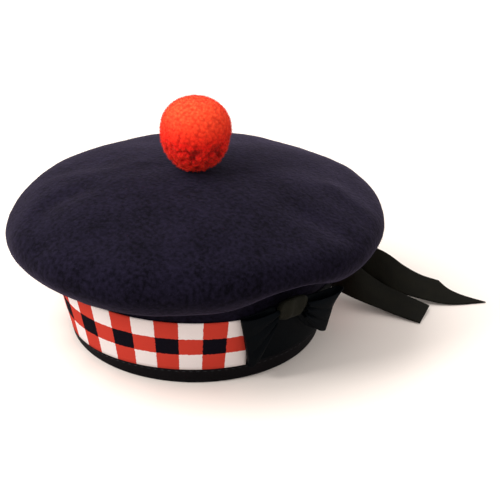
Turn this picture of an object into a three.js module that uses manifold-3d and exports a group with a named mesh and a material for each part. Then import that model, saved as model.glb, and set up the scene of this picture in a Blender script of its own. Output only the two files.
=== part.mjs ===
// Balmoral bonnet: a soft felted-wool cap whose round crown overhangs a flared headband.
// The headband carries a woven diced border, a folded ribbon binding, a ribbon cockade on the wearer's left
// and two ribbon tails at the back, and a red wool toorie sits on the crown.
// Millimetres, +Z up. The origin is the middle of the head opening, on the surface the bonnet rests on.
// The front is -Y and the wearer's left is +X. Angles are degrees from the front towards the wearer's left.
import * as THREE from "three";
import { LoftGeometry } from "three/addons/geometries/LoftGeometry.js";
import { mergeVertices } from "three/addons/utils/BufferGeometryUtils.js";
import Module from "manifold-3d";

const wasm = await Module();
wasm.setup();

// Cloth walls, and the gap that separate pieces keep
const WOOL = 2.6;
const DICING = 1.2;
const RIBBON = 1.0;
const GAP = 0.3;

// Headband: an oval ring that flares upwards. Half sizes of its outer face.
const FOOT = { halfWidth: 93.4, halfLength: 96, height: RIBBON + GAP };
const HEADBAND_TOP = { halfWidth: 106, halfLength: 109, height: 58 };
const HEADBAND_RADIUS = 101;

// Crown: oval sections of its outer face, from the headband out to the edge and over to the middle
const CROWN_SECTIONS = [
  { at: "under seam", ...HEADBAND_TOP },
  { at: "underside", halfWidth: 109.5, halfLength: 113, height: 65 },
  { at: "lower edge", halfWidth: 124, halfLength: 131, height: 67.5 },
  { at: "edge", halfWidth: 134.5, halfLength: 142.5, height: 81.5 },
  { at: "upper edge", halfWidth: 131.5, halfLength: 139, height: 94 },
  { at: "shoulder", halfWidth: 115.5, halfLength: 122.5, height: 106 },
  { at: "slope", halfWidth: 86, halfLength: 90.5, height: 117 },
  { at: "top", halfWidth: 44.5, halfLength: 46.5, height: 124.5 },
  { at: "middle", halfWidth: 0, halfLength: 0, height: 127.5 },
];

// The crown flops a little towards the wearer's right
const CROWN_SHIFT = new THREE.Vector3(-4, -0.5, 0);

// Soft folds of the crown's edge: where, over how many degrees, how far up and how far out
const EDGE_FOLDS = [
  { angle: 320, spread: 24, lift: -4.2, out: 1.2 },
  { angle: 350, spread: 20, lift: 2.3, out: 1 },
  { angle: 20, spread: 20, lift: 2.2, out: 0 },
  { angle: 50, spread: 20, lift: 3.2, out: -4.5 },
  { angle: 80, spread: 20, lift: 5.8, out: -5 },
  { angle: 110, spread: 20, lift: 3, out: 4.6 },
  { angle: 140, spread: 20, lift: 0.6, out: 5.2 },
  { angle: 162, spread: 19, lift: 3.8, out: 2 },
  { angle: 202, spread: 12, lift: -2.2, out: 0 },
  { angle: 214, spread: 30, lift: 0.8, out: 1.2 },
  { angle: 266, spread: 12, lift: -3.6, out: 0 },
  { angle: 276, spread: 34, lift: 1.6, out: -1 },
];

// Hollow that the cockade's knot presses up into the crown's underside.
// A bias under 1 deepens it near the headband.
const KNOT_HOLLOW = { angle: 86, spread: 13, lift: 14, bias: 0.6 };

// Shallow dents in the crown's top: where, how far from the middle, how wide and how deep
const CROWN_DENTS = [
  { angle: 20, distance: 76, spread: 34, depth: 2 },
  { angle: 105, distance: 84, spread: 26, depth: 1.6 },
  { angle: 250, distance: 80, spread: 32, depth: 1.6 },
  { angle: 300, distance: 88, spread: 30, depth: 1.6 },
];
// The part of the way to the middle over which the dents set in
const DENTS_BEGIN = 0.45;
const DENTS_FULL = 0.6;

// Binding: how far it stands up outside and inside the headband's edge
const BINDING_OUTSIDE = 13.5;
const BINDING_INSIDE = 12;

// Diced border: rows and columns of checks, and the angles where it meets the cockade
const DICE_ROWS = 3;
const DICE_COLUMNS = 32;
const DICE_FOOT = BINDING_OUTSIDE + GAP;
const DICE_TOP = 57.2;
const COCKADE_FRONT = 72.2;
const COCKADE_REAR = 132.04;
// The chart of one repeat: two columns of checks, each from the foot up
const DICE_CHART = [
  ["red", "navy", "red"],
  ["white", "red", "white"],
];

// Cockade: a flat bow of wide ribbon. Lengths run along the headband from the knot's middle.
const COCKADE_ANGLE = 86;
const COCKADE_OUT = GAP + DICING + GAP;
const KNOT = {
  angle: COCKADE_ANGLE,
  halfWidth: 10,
  halfHeight: 10,
  depth: 13,
  height: 60,
  rise: 7,
  creases: 3,
};
// A loop's end slants by so much from its foot to its top, and its top corner flicks out by so much.
const LOOPS = [
  {
    name: "cockade_front_loop",
    side: -1,
    length: 29.2,
    depth: 8,
    lift: 0,
    foot: 14.5,
    top: 61,
    slant: 10.5,
    flick: 0,
  },
  {
    name: "cockade_rear_loop",
    side: 1,
    length: 32.6,
    depth: 11,
    lift: 7,
    foot: 30.5,
    top: 62.5,
    slant: 0,
    flick: 8.7,
  },
];
const LOOP_GATHER = { foot: 51, top: 65 };
const LOOP_OPEN = 0.07;
const LOOP_PLEATS = 3;
const PLEAT_DEPTH = 1.3;
// A knot's fullness: under 1 it is squarer than a ball, and its creases take this share of its depth
const KNOT_FULLNESS = 0.7;
const CREASE_DEPTH = 0.08;

// Tails: the ribbon's middle line, and how far it leans over from upright, in degrees
const TAIL_WIDTH = 25;
const TAIL_KNOT = { angle: 180, halfWidth: 7, halfHeight: 16, depth: 8, height: 34, rise: 0, creases: 2 };
const TAILS = [
  {
    name: "tail_near",
    slant: 0,
    route: [
      { x: 7.7, y: 109.2, z: 29.5, lean: 0 },
      { x: 32, y: 109.6, z: 21, lean: 6 },
      { x: 58.8, y: 110.3, z: 21.5, lean: 30 },
      { x: 83.4, y: 127.3, z: 9, lean: 73 },
      { x: 113.2, y: 141.3, z: 2.8, lean: 84 },
    ],
  },
  {
    name: "tail_far",
    slant: 0.23,
    route: [
      { x: 7.2, y: 112.6, z: 37.5, lean: 0 },
      { x: 38, y: 121, z: 34.5, lean: 4 },
      { x: 61.5, y: 138.2, z: 26.6, lean: 15 },
      { x: 77.5, y: 150.4, z: 16.6, lean: 52 },
      { x: 91.5, y: 164.5, z: 9.2, lean: 70 },
      { x: 104.8, y: 178.8, z: 4.4, lean: 80 },
      { x: 118.2, y: 202.9, z: 2.4, lean: 85 },
    ],
  },
];

// Toorie: a core ball with tapering locks of yarn
const TOORIE_RADIUS = 27.8;
const TOORIE_CORE = 25.2;
const TOORIE_SINK = 1.2;
const LOCKS = 54;
const LOCK_SIDES = 5;
const LOCK_FOOT_RADIUS = 7;
const LOCK_TIP_RADIUS = 3.8;
const LOCK_ROOT = TOORIE_CORE * 0.6;
const LOCK_UNEVEN = 1;
const LOCK_UNEVEN_STEP = 2.3;

// Facets round the bonnet, up the headband, across the crown, and along and across the ribbons
const AROUND = 60;
const UP_HEADBAND = 3;
const ACROSS_CROWN = 14;
const BASE_FACETS = { along: 16, across: 3 };
const LOOP_FACETS = { along: 20, across: 8 };
const TAIL_FACETS = { along: 22, across: 2 };
const KNOT_FACETS = { around: 14, up: 8 };
const CHECK_FACETS = 2;
const NOTHING = 1e-6;
const SAME_POINT = 1e-4;

const COLOURS = { navy: 0x1b1a2b, red: 0xd23a26, white: 0xefe9e2, black: 0x121315, scarlet: 0xf0421f };
const wool = new THREE.MeshStandardMaterial({ color: COLOURS.navy, roughness: 0.95, metalness: 0 });
const dicing = new THREE.MeshStandardMaterial({ vertexColors: true, roughness: 0.85, metalness: 0 });
const ribbon = new THREE.MeshStandardMaterial({ color: COLOURS.black, roughness: 0.6, metalness: 0 });
const yarn = new THREE.MeshStandardMaterial({ color: COLOURS.scarlet, roughness: 0.95, metalness: 0 });

const radians = THREE.MathUtils.degToRad;
const mix = THREE.MathUtils.lerp;

// A point of an oval section at an angle
function ovalPoint(angle, halfWidth, halfLength, height) {
  const a = radians(angle);
  return new THREE.Vector3(Math.sin(a) * halfWidth, -Math.cos(a) * halfLength, height);
}

// A point at a height on the headband's outer face, moved out level by so much
function headbandPoint(angle, height, out = 0) {
  const rise = (height - FOOT.height) / (HEADBAND_TOP.height - FOOT.height);
  const halfWidth = mix(FOOT.halfWidth, HEADBAND_TOP.halfWidth, rise) + out;
  const halfLength = mix(FOOT.halfLength, HEADBAND_TOP.halfLength, rise) + out;
  return ovalPoint(angle, halfWidth, halfLength, height);
}

// A bell curve, 1 at nothing and fading over a spread
const bell = (distance, spread) => Math.exp(-((distance / spread) ** 2));
const turnBetween = (a, b) => THREE.MathUtils.euclideanModulo(a - b + 180, 360) - 180;

// The face of a cloth as a grid of points, with along and across both from 0 to 1
function gridOf(face, alongSteps, acrossSteps) {
  return Array.from({ length: alongSteps + 1 }, (_, i) =>
    Array.from({ length: acrossSteps + 1 }, (_, j) => face(i / alongSteps, j / acrossSteps)),
  );
}

// The grid moved inwards by a wall. The face looks out along (along x across).
// Where a grid line shrinks to a point, on the crown's middle, it looks up.
function innerGrid(grid, wall, closed) {
  const last = grid.length - 1;
  const before = (i) => grid[closed && i === 0 ? last - 1 : Math.max(i - 1, 0)];
  const after = (i) => grid[closed && i === last ? 1 : Math.min(i + 1, last)];
  return grid.map((line, i) =>
    line.map((point, j) => {
      const along = after(i)[j].clone().sub(before(i)[j]);
      const across = line[Math.min(j + 1, line.length - 1)].clone().sub(line[Math.max(j - 1, 0)]);
      const normal = along.cross(across);
      if (normal.length() < NOTHING) normal.set(0, 0, 1);
      return point.clone().addScaledVector(normal.normalize(), -wall);
    }),
  );
}

// A cloth wall behind a face: a strip with two ends, or a closed ring
function clothWall(face, wall, alongSteps, acrossSteps, closed = false) {
  const outer = gridOf(face, alongSteps, acrossSteps);
  const inner = innerGrid(outer, wall, closed);
  const sections = outer.map((line, i) => [...inner[i], ...line.slice().reverse()]);
  return new LoftGeometry(sections, { capStart: !closed, capEnd: !closed });
}

// Closed three.js geometry as a solid to join or cut, and back
function solidOf(geometry) {
  const bare = geometry.clone();
  bare.deleteAttribute("normal");
  bare.deleteAttribute("uv");
  const merged = mergeVertices(bare, SAME_POINT);
  return new wasm.Manifold(
    new wasm.Mesh({
      numProp: 3,
      vertProperties: merged.attributes.position.array,
      triVerts: new Uint32Array(merged.index.array),
    }),
  );
}

function geometryOf(solid) {
  const made = solid.getMesh();
  const geometry = new THREE.BufferGeometry();
  geometry.setAttribute("position", new THREE.BufferAttribute(made.vertProperties, 3));
  geometry.setIndex(new THREE.BufferAttribute(made.triVerts, 1));
  geometry.computeVertexNormals();
  return geometry;
}

function node(name, geometry, material) {
  const mesh = new THREE.Mesh(geometry, material);
  mesh.name = name;
  return mesh;
}

// Crown and headband: one felted wall, open below
const crownCurve = new THREE.CatmullRomCurve3(
  CROWN_SECTIONS.map((s) => new THREE.Vector3(s.halfWidth, s.halfLength, s.height)),
);
const EDGE_ROW = CROWN_SECTIONS.findIndex((s) => s.at === "edge");
const EDGE_RUN = EDGE_ROW / (CROWN_SECTIONS.length - 1);
const EDGE_HALF_WIDTH = CROWN_SECTIONS[EDGE_ROW].halfWidth;

// A point of the crown's outer face, from the headband's top (0) to the middle (1), with its folds and dents
function crownPoint(angle, run) {
  const section = crownCurve.getPoint(run);
  const overhang = (section.x - HEADBAND_TOP.halfWidth) / (EDGE_HALF_WIDTH - HEADBAND_TOP.halfWidth);
  const underside = run < EDGE_RUN;
  const softness = underside
    ? Math.sin((overhang * Math.PI) / 2)
    : THREE.MathUtils.smoothstep(overhang, 0, 1);
  let out = 0;
  let lift = 0;
  for (const fold of EDGE_FOLDS) {
    const share = softness * bell(turnBetween(angle, fold.angle), fold.spread);
    out += share * fold.out;
    lift += share * fold.lift;
  }
  if (underside) {
    const depth = Math.sin(Math.PI * Math.max(overhang, 0) ** KNOT_HOLLOW.bias);
    lift += KNOT_HOLLOW.lift * depth * bell(turnBetween(angle, KNOT_HOLLOW.angle), KNOT_HOLLOW.spread);
  }
  const point = ovalPoint(angle, section.x + out, section.y + out, section.z + lift);
  point.addScaledVector(CROWN_SHIFT, underside ? softness : 1);
  for (const dent of CROWN_DENTS) {
    const centre = ovalPoint(dent.angle, dent.distance, dent.distance, point.z);
    const share = THREE.MathUtils.smoothstep(run, DENTS_BEGIN, DENTS_FULL);
    point.z -= share * dent.depth * bell(point.distanceTo(centre), dent.spread);
  }
  return point;
}

function woolBody() {
  const steps = UP_HEADBAND + ACROSS_CROWN;
  const face = (along, across) => {
    const angle = along * 360;
    const step = across * steps;
    return step < UP_HEADBAND
      ? headbandPoint(angle, mix(FOOT.height, HEADBAND_TOP.height, step / UP_HEADBAND))
      : crownPoint(angle, (step - UP_HEADBAND) / ACROSS_CROWN);
  };
  return node("crown", clothWall(face, WOOL, AROUND, steps, true), wool);
}

// Diced border: a strip round the headband, from the cockade's rear past the back and the front to its front
function dicedBorder() {
  const start = COCKADE_REAR;
  const end = COCKADE_FRONT + 360;
  const face = (along, across) =>
    headbandPoint(mix(start, end, along), mix(DICE_FOOT, DICE_TOP, across), GAP + DICING);
  const geometry = clothWall(face, DICING, DICE_COLUMNS * CHECK_FACETS, DICE_ROWS).toNonIndexed();
  // Each facet takes its check's colour from the chart
  const place = geometry.attributes.position;
  const colours = [];
  for (let first = 0; first < place.count; first += 3) {
    const middle = new THREE.Vector3();
    for (let corner = 0; corner < 3; corner++) {
      middle.add(new THREE.Vector3().fromBufferAttribute(place, first + corner));
    }
    middle.divideScalar(3);
    const angle = THREE.MathUtils.radToDeg(Math.atan2(middle.x, -middle.y));
    const along = THREE.MathUtils.euclideanModulo(angle - start, 360) / (end - start);
    const column = THREE.MathUtils.clamp(Math.floor(along * DICE_COLUMNS), 0, DICE_COLUMNS - 1);
    const row = Math.floor(((middle.z - DICE_FOOT) / (DICE_TOP - DICE_FOOT)) * DICE_ROWS);
    const name = DICE_CHART[column % DICE_CHART.length][THREE.MathUtils.clamp(row, 0, DICE_ROWS - 1)];
    const colour = new THREE.Color(COLOURS[name]);
    for (let corner = 0; corner < 3; corner++) colours.push(colour.r, colour.g, colour.b);
  }
  geometry.setAttribute("color", new THREE.Float32BufferAttribute(colours, 3));
  return node("diced_border", geometry, dicing);
}

// Binding: a ribbon folded under the headband's edge, up the inside and the outside
function edgeBinding() {
  const outside = GAP + RIBBON;
  const inside = -(WOOL + 2 * GAP + RIBBON);
  const profile = [
    { out: inside, height: BINDING_INSIDE },
    { out: inside, height: RIBBON },
    { out: inside + RIBBON, height: 0 },
    { out: outside - RIBBON, height: 0 },
    { out: outside, height: RIBBON },
    { out: outside, height: BINDING_OUTSIDE },
  ];
  const face = (along, across) => {
    const corner = profile[Math.round(across * (profile.length - 1))];
    return headbandPoint(along * 360, corner.height, corner.out);
  };
  return node("binding", clothWall(face, RIBBON, AROUND, profile.length - 1, true), ribbon);
}

// A point over the headband, so far along it from an angle, at a height and so far out
function overHeadband(angle, along, height, out) {
  return headbandPoint(angle + THREE.MathUtils.radToDeg(along / HEADBAND_RADIUS), height, out);
}

// Cockade base: the flat ribbon panel under the bow
function cockadeBase() {
  const face = (along, across) => {
    const angle = mix(COCKADE_FRONT + GAP, COCKADE_REAR - GAP, along);
    return headbandPoint(angle, mix(DICE_FOOT, DICE_TOP, across), GAP + DICING);
  };
  return node("cockade_base", clothWall(face, DICING, BASE_FACETS.along, BASE_FACETS.across), ribbon);
}

// One loop of the bow: a flat hoop of ribbon, gathered in pleats at the knot and spread at its end
function cockadeLoop({ name, side, length, depth, lift, foot, top, slant, flick }) {
  const start = KNOT.halfWidth + GAP;
  const reachOf = (turn) => (1 - Math.cos(turn)) / 2;
  const firstTurn = LOOP_OPEN * 2 * Math.PI;
  const face = (along, across) => {
    const turn = mix(firstTurn, 2 * Math.PI - firstTurn, along);
    const spread = (reachOf(turn) - reachOf(firstTurn)) / (1 - reachOf(firstTurn));
    const layer = Math.sign(Math.sin(turn)) * Math.sqrt(Math.abs(Math.sin(turn)));
    const level = across - 0.5;
    const fan = Math.sin((spread * Math.PI) / 2);
    const height = mix(mix(LOOP_GATHER.foot, foot, fan), mix(LOOP_GATHER.top, top, fan), across);
    const pleatDepth = PLEAT_DEPTH * (1 - spread);
    const pleat = pleatDepth * (1 + Math.cos(level * 2 * Math.PI * LOOP_PLEATS));
    const out = COCKADE_OUT + ((1 + side * layer) * depth) / 2 + lift * spread + pleat;
    const corner = flick * Math.max(2 * level, 0) ** 4;
    const reach = start + spread * (length - start + level * slant + corner);
    return overHeadband(COCKADE_ANGLE, side * reach, height, out);
  };
  return node(name, clothWall(face, RIBBON, LOOP_FACETS.along, LOOP_FACETS.across), ribbon);
}

// A knot: a rounded bunch of ribbon over the headband, with creases where it is drawn tight
function ribbonKnot(name, size) {
  const geometry = new THREE.SphereGeometry(1, KNOT_FACETS.around, KNOT_FACETS.up);
  const place = geometry.attributes.position;
  const rounded = (value) => Math.sign(value) * Math.abs(value) ** KNOT_FULLNESS;
  for (let i = 0; i < place.count; i++) {
    const p = new THREE.Vector3().fromBufferAttribute(place, i);
    const crease = CREASE_DEPTH * (1 + Math.cos(p.x * Math.PI * size.creases));
    const out = ((1 + rounded(p.z)) / 2) * size.depth * (1 - crease);
    const along = rounded(p.x) * size.halfWidth;
    const height = size.height + rounded(p.y) * size.halfHeight + (size.rise * out) / size.depth;
    const made = overHeadband(size.angle, along, height, COCKADE_OUT + out);
    place.setXYZ(i, made.x, made.y, made.z);
  }
  geometry.computeVertexNormals();
  return node(name, geometry, ribbon);
}

// A tail: a ribbon along its route, upright at the knot and leaning over to lie on the surface
function ribbonTail({ name, slant, route }) {
  const middle = new THREE.CatmullRomCurve3(route.map((r) => new THREE.Vector3(r.x, r.y, r.z)));
  const leans = new THREE.CatmullRomCurve3(route.map((r) => new THREE.Vector3(r.lean, 0, 0)));
  const up = new THREE.Vector3(0, 0, 1);
  const face = (along, across) => {
    const run = along * (1 - slant * across);
    const lean = radians(leans.getPoint(run).x);
    const outward = up.clone().cross(middle.getTangent(run)).normalize();
    const spread = up.clone().multiplyScalar(Math.cos(lean)).addScaledVector(outward, Math.sin(lean));
    return middle.getPoint(run).addScaledVector(spread, (across - 0.5) * TAIL_WIDTH);
  };
  return node(name, clothWall(face, RIBBON, TAIL_FACETS.along, TAIL_FACETS.across), ribbon);
}

// Toorie: locks of yarn fused to a core ball, flat where it sits on the crown
function toorie() {
  const centre = crownPoint(0, 1);
  centre.z += GAP + TOORIE_RADIUS - TOORIE_SINK;
  const up = new THREE.Vector3(0, 1, 0);
  let ball = solidOf(new THREE.IcosahedronGeometry(TOORIE_CORE, 2).translate(...centre));
  const goldenTurn = Math.PI * (3 - Math.sqrt(5));
  for (let i = 0; i < LOCKS; i++) {
    const level = 1 - (2 * i + 1) / LOCKS;
    const ring = Math.sqrt(1 - level * level);
    const way = new THREE.Vector3(ring * Math.cos(i * goldenTurn), ring * Math.sin(i * goldenTurn), level);
    const tip = TOORIE_RADIUS - (LOCK_UNEVEN * (1 + Math.sin(i * LOCK_UNEVEN_STEP))) / 2;
    const lock = new THREE.CylinderGeometry(LOCK_TIP_RADIUS, LOCK_FOOT_RADIUS, tip - LOCK_ROOT, LOCK_SIDES);
    lock.applyQuaternion(new THREE.Quaternion().setFromUnitVectors(up, way));
    const place = centre.clone().addScaledVector(way, (tip + LOCK_ROOT) / 2);
    ball = ball.add(solidOf(lock.translate(place.x, place.y, place.z)));
  }
  const seat = new THREE.BoxGeometry(4 * TOORIE_RADIUS, 4 * TOORIE_RADIUS, 2 * TOORIE_RADIUS);
  seat.translate(centre.x, centre.y, centre.z - 2 * TOORIE_RADIUS + TOORIE_SINK);
  return node("toorie", geometryOf(ball.subtract(solidOf(seat))), yarn);
}

const bonnet = new THREE.Group();
bonnet.add(woolBody(), dicedBorder(), edgeBinding(), cockadeBase());
for (const loop of LOOPS) bonnet.add(cockadeLoop(loop));
bonnet.add(ribbonKnot("cockade_knot", KNOT), ribbonKnot("tail_knot", TAIL_KNOT));
for (const tail of TAILS) bonnet.add(ribbonTail(tail));
bonnet.add(toorie());

export default bonnet;
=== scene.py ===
# Balmoral bonnet: the looks of its felt crown, diced border, ribbon binding, cockade, tails and yarn toorie.
# Metres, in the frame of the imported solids: +Z is up, the front is -Y and the wearer's left is +X.
# Angles are degrees from the front towards the wearer's left.
import math

import bmesh
import bpy
import numpy as np
from mathutils import Matrix, Vector, noise


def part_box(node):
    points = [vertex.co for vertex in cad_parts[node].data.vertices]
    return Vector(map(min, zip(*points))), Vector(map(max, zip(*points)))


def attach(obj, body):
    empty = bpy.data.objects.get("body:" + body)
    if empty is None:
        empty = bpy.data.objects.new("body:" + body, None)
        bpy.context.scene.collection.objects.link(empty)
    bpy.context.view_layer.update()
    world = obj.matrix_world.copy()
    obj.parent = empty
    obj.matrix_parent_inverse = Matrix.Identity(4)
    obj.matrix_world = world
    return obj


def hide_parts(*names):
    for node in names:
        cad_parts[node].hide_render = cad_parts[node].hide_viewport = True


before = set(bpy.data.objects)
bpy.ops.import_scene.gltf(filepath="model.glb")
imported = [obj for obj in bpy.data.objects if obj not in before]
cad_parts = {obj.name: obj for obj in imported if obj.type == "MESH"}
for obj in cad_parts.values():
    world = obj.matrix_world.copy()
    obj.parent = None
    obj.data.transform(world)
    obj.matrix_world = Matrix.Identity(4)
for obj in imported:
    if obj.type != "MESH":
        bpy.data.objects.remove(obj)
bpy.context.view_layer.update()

BODY = "root"
MM = 0.001

# Headband, as in the solids: half width, half length and height of its outer face at the foot and at the top
HEADBAND_FOOT = np.array([93.4, 96.0, 1.3]) * MM
HEADBAND_TOP = np.array([106.0, 109.0, 58.0]) * MM
HEADBAND_RADIUS = 101 * MM
GAP = 0.3 * MM

# Points closer than this are one point, and shares closer than this are the same
WELD = 0.01 * MM
TINY = 1e-9
# How far a cloth's edge bulges, as a share of its wall
EDGE_BULGE = 1 / 3

# Felt: its cage has quads where the solid's facets meet within these angles, in degrees, and is let out in a
# few rounds before it is rounded. The soft unevenness of the crown is given as sizes and depths.
FELT_WALL = 2.6 * MM
QUAD_FACE_ANGLE = 60
QUAD_SHAPE_ANGLE = 80
LET_OUT_ROUNDS = 3
FELT_ROUNDING = 2
FELT_UNEVENNESS = [
    {"size": 34 * MM, "depth": 0.9 * MM},
    {"size": 9 * MM, "depth": 0.22 * MM},
]
# The seed of all random shifts, which makes every run the same
UNEVEN_SEED = 4
# Soft folds on top of the crown: each one's route in plan in millimetres, its rise or sink and its half width
FELT_FOLDS = [
    {"route": [(-81, -84), (-72, -68), (-53, -51), (-41, -20)], "rise": 0.8 * MM, "width": 8 * MM},
    {"route": [(-42, -80), (-46, -100), (-38, -118), (-10, -132)], "rise": -2.2 * MM, "width": 11 * MM},
    {"route": [(64, 82), (82, 83), (103, 84)], "rise": 1.5 * MM, "width": 9 * MM},
    {"route": [(88, 30), (107, 38), (120, 46)], "rise": -1.2 * MM, "width": 12 * MM},
]
FOLD_STEPS = 25
FOLDS_FROM = 88 * MM
FOLDS_FULL = 102 * MM
FELT_EVEN_BELOW = 59 * MM
FELT_UNEVEN_ABOVE = 70 * MM
FELT_MIDDLE = np.array([0, 0, 80 * MM])

# Loose fibres: the shortest as a share of the longest, and the rings of a fibre as shares of its length and
# of its thickness. Each row says how a cloth's fibres grow, fewer and thicker than real ones, to show.
STRAND_SHORTEST = 0.5
STRAND_RINGS = [{"along": 0.0, "thick": 0.7}, {"along": 0.6, "thick": 1.0}]
NAP = {
    "spacing": 1.9 * MM,
    "length": 1.9 * MM,
    "bend": 0.5 * MM,
    "radius": 0.05 * MM,
    "lean": 1.6,
    "seed": 7,
}
FUZZ = {
    "spacing": 0.66 * MM,
    "length": 1.7 * MM,
    "bend": 0.5 * MM,
    "radius": 0.11 * MM,
    "lean": 0.6,
    "seed": 6,
}

# Diced border, with mesh steps along and across each check
DICING_WALL = 1.2 * MM
DICE_COLUMNS = 32
DICE_ROWS = 3
DICE_FOOT = 13.8 * MM
DICE_TOP = 57.2 * MM
COCKADE_FRONT = 72.2
COCKADE_REAR = 132.04
DICE_LENGTH = math.radians(360 + COCKADE_FRONT - COCKADE_REAR) * HEADBAND_RADIUS
PANEL_LENGTH = math.radians(COCKADE_REAR - COCKADE_FRONT) * HEADBAND_RADIUS
CHECK_WIDTH = DICE_LENGTH / DICE_COLUMNS
CHECK_HEIGHT = (DICE_TOP - DICE_FOOT) / DICE_ROWS
CHECK_STEPS = (8, 6)
# How far the dicing stands off the felt at most, and over what length that changes
DICING_EASE = 0.2 * MM
DICING_EASE_SIZE = 21 * MM
# The dip at the front in the seam between dicing and binding, and the share of it at the dicing's top
SEAM_DIP = 5.5 * MM
TOP_DIP = 0.5
DIP_ANGLE = 335
DIP_SPREAD = 42

# Ribbon, its binding round the headband's edge and the stitches along that
RIBBON_WALL = 1.0 * MM
BINDING_OUTSIDE = 13.5 * MM
BINDING_INSIDE = 12.0 * MM
BINDING_FOLD = 1.6 * MM
BINDING_WANDER = 0.5 * MM
BINDING_WANDER_SIZE = 30 * MM
BINDING_STEPS = 361
BINDING_SIDE_STEPS = 8
BINDING_FOLD_STEPS = 7
STITCH_PITCH = 5.2 * MM
STITCH_LENGTH = 2.8 * MM
STITCH_THICKNESS = 0.55 * MM
STITCH_HEIGHT = BINDING_OUTSIDE - 1.8 * MM

# Cockade: a flat bow on a panel. Knots and loops are in millimetres, with lengths along the headband from
# a knot's middle.
COCKADE_ANGLE = 86
COCKADE_OUT = GAP + DICING_WALL + GAP
PANEL_STEPS = (49, 25)
KNOTS = [
    {
        "name": "cockade_knot",
        "angle": COCKADE_ANGLE,
        "half_width": 10,
        "half_height": 10,
        "depth": 13,
        "height": 60,
        "rise": 7,
        "creases": 3,
    },
    {
        "name": "tail_knot",
        "angle": 180,
        "half_width": 7,
        "half_height": 16,
        "depth": 8,
        "height": 34,
        "rise": 0,
        "creases": 2,
    },
]
KNOT_SEGMENTS = (64, 32)
KNOT_FULLNESS = 0.7
CREASE_DEPTH = 0.08
LOOPS = [
    {
        "name": "front",
        "side": -1,
        "length": 29.2,
        "depth": 8,
        "lift": 0,
        "foot": 14.5,
        "top": 61,
        "slant": 10.5,
        "flick": 0,
    },
    {
        "name": "rear",
        "side": 1,
        "length": 32.6,
        "depth": 11,
        "lift": 7,
        "foot": 30.5,
        "top": 62.5,
        "slant": 0,
        "flick": 8.7,
    },
]
LOOP_STEPS = (97, 61)
LOOP_START = 10.3
LOOP_GATHER_FOOT = 51
LOOP_GATHER_TOP = 65
LOOP_OPEN = 0.07
LOOP_PLEATS = 3
PLEAT_DEPTH = 2.6
LOOP_RIBBON = (42 * MM, 58 * MM)

# Tails: the ribbon's middle line in millimetres, and how far it leans over from upright, in degrees
TAIL_WIDTH = 25 * MM
TAIL_STEPS = (121, 21)
TAILS = [
    {
        "name": "near",
        "length": 123 * MM,
        "slant": 0,
        "route": [
            (7.7, 109.2, 29.5, 0),
            (32, 109.6, 21, 6),
            (58.8, 110.3, 21.5, 30),
            (83.4, 127.3, 9, 73),
            (113.2, 141.3, 2.8, 84),
        ],
    },
    {
        "name": "far",
        "length": 160 * MM,
        "slant": 0.23,
        "route": [
            (7.2, 112.6, 37.5, 0),
            (38, 121, 34.5, 4),
            (61.5, 138.2, 26.6, 15),
            (77.5, 150.4, 16.6, 52),
            (91.5, 164.5, 9.2, 70),
            (104.8, 178.8, 5.2, 74),
            (118.2, 202.9, 2.4, 85),
        ],
    },
]

# Toorie: clipped ends of yarn, close together above and parted into locks below, under a short fuzz.
# It is fuller above than below. Its bulges: which way, how wide as a share of its radius, and how far out.
TOORIE_LOW, TOORIE_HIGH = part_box("toorie")
TOORIE_RADIUS = (TOORIE_HIGH.x - TOORIE_LOW.x) / 2
TOORIE_CENTRE = Vector((*((TOORIE_LOW + TOORIE_HIGH) / 2).xy, TOORIE_HIGH.z - TOORIE_RADIUS))
TOORIE_SUBDIVISIONS = 7
# Nearer to its middle line than this share of its radius, it gets no fuller
TOORIE_AXIS = 0.01
YARN_END = 2.6 * MM
YARN_GROOVE = 1.1 * MM
# The depth of the grooves above, as a share of that below, and where a groove is full, as a share of a bunch
YARN_GROOVE_ABOVE = 0.5
GROOVE_FULL = 0.8
LOCK = 5.5 * MM
LOCK_GROOVE = 3.0 * MM
LOCKS_FROM = 0.35
LOCKS_FULL = -0.5
LOCK_SHADE = 1.6
# Painted light: only its top turns paler orange, as if lit from above; the share of that at the foot is well
# below none
TOP_LIGHT_AT_FOOT = -1.35
TOORIE_WIDE = 0.94
TOORIE_TALL = 1.01
TOORIE_TOP_FULL = 0.05
TOORIE_FULLNESS = 0.88
TOORIE_BULGES = [
    {"way": (0.5, 0.6, 0.4), "width": 0.5, "out": 0.8 * MM},
    {"way": (-0.4, -0.5, 0.5), "width": 0.5, "out": 0.6 * MM},
]
BARE_BELOW = -0.9

# Camera, fitted to the headband's oval, the checks and the crown's outline in the photograph
IMAGE_PIXELS = 500
FOCAL_PIXELS = 1424.5
TARGET_PIXEL = (197.0, 266.3)
CAMERA_TARGET = Vector((0, 0, 45 * MM))
CAMERA_DISTANCE = 1.1
CAMERA_AZIMUTH = 50
CAMERA_ELEVATION = 28.3
CAMERA_ROLL = 0.8
SENSOR_MM = 36

# Studio: a white room, a large soft lamp high on the left of the picture and a small one in front,
# which leaves the headband's top in the crown's shade
ROOM_LIGHT = 0.94
LAMPS = [
    {"name": "high_lamp", "place": Vector((-0.6, -0.68, 1.45)), "size": 1.2, "watts": 26},
    {"name": "front_lamp", "place": Vector((-0.2, -1.2, 0.9)), "size": 0.35, "watts": 10},
]
FLOOR_SIZE = 40


def linear(hex_colour):
    """An sRGB hex value as linear red, green and blue, with full alpha."""
    shares = [int(hex_colour[i : i + 2], 16) / 255 for i in (1, 3, 5)]
    return (*[s / 12.92 if s <= 0.04045 else ((s + 0.055) / 1.055) ** 2.4 for s in shares], 1.0)


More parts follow.
